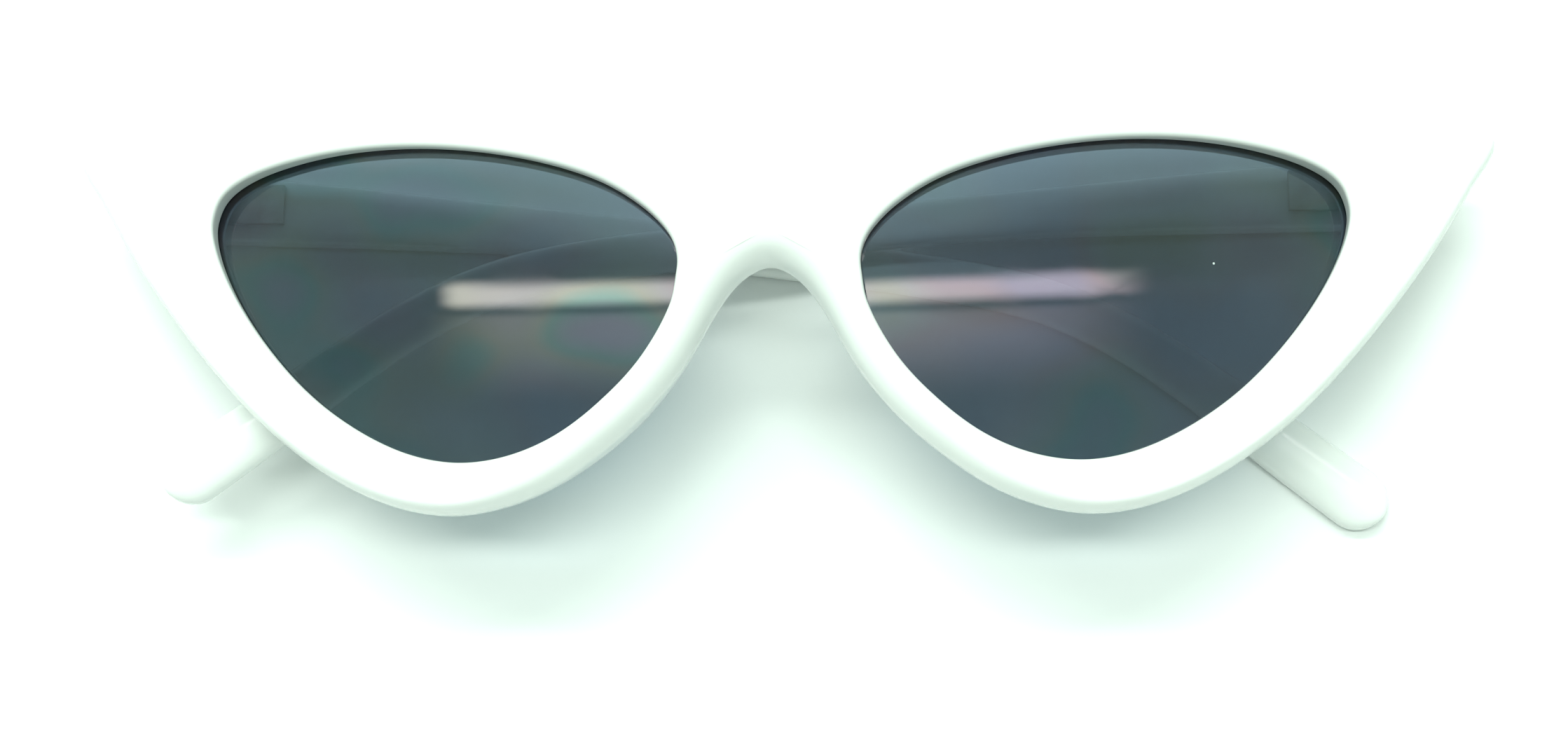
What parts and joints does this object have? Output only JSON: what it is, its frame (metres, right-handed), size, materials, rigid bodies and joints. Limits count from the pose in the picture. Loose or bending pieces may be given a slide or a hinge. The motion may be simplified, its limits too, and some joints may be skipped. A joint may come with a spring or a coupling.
{
  "type": "cat eye sunglasses",
  "caption": "Sunglasses with an upswept pointed plastic front, tinted curved lenses and two temples that fold on screwed three-barrel hinges, stored folded with the lenses up.",
  "frame": {"origin": "centre of the folded glasses' footprint, on the surface they lie on", "axes": "+X along the front from the wearer's right to the wearer's left, +Y from the lower rims to the brow, +Z the way the lenses face, up from the table"},
  "size_m": [0.1536, 0.0439, 0.0224],
  "materials": {
    "white_plastic": "glossy injection-moulded white",
    "smoke_lens": "clear polished smoke-grey tint",
    "hinge_steel": "satin nickel-plated steel"
  },
  "bodies": {
    "front": {"front_frame": "white_plastic", "lens_left": "smoke_lens", "lens_right": "smoke_lens", "front_hinge_leaf_left": "hinge_steel", "front_hinge_leaf_right": "hinge_steel", "hinge_screw_left": "hinge_steel", "hinge_screw_right": "hinge_steel"},
    "left_temple": {"temple_left": "white_plastic", "temple_hinge_leaf_left": "hinge_steel"},
    "right_temple": {"temple_right": "white_plastic", "temple_hinge_leaf_right": "hinge_steel"}
  },
  "joints": [
    {"name": "left_temple_fold", "type": "hinge", "parent": "front", "child": "left_temple", "pos_m": [0.0664, 0.0154, 0.00522], "axis": [0, -1, 0], "range_deg": [0, 93.5]},
    {"name": "right_temple_fold", "type": "hinge", "parent": "front", "child": "right_temple", "pos_m": [-0.0664, 0.0154, 0.00522], "axis": [0, 1, 0], "range_deg": [0, 90]}
  ]
}
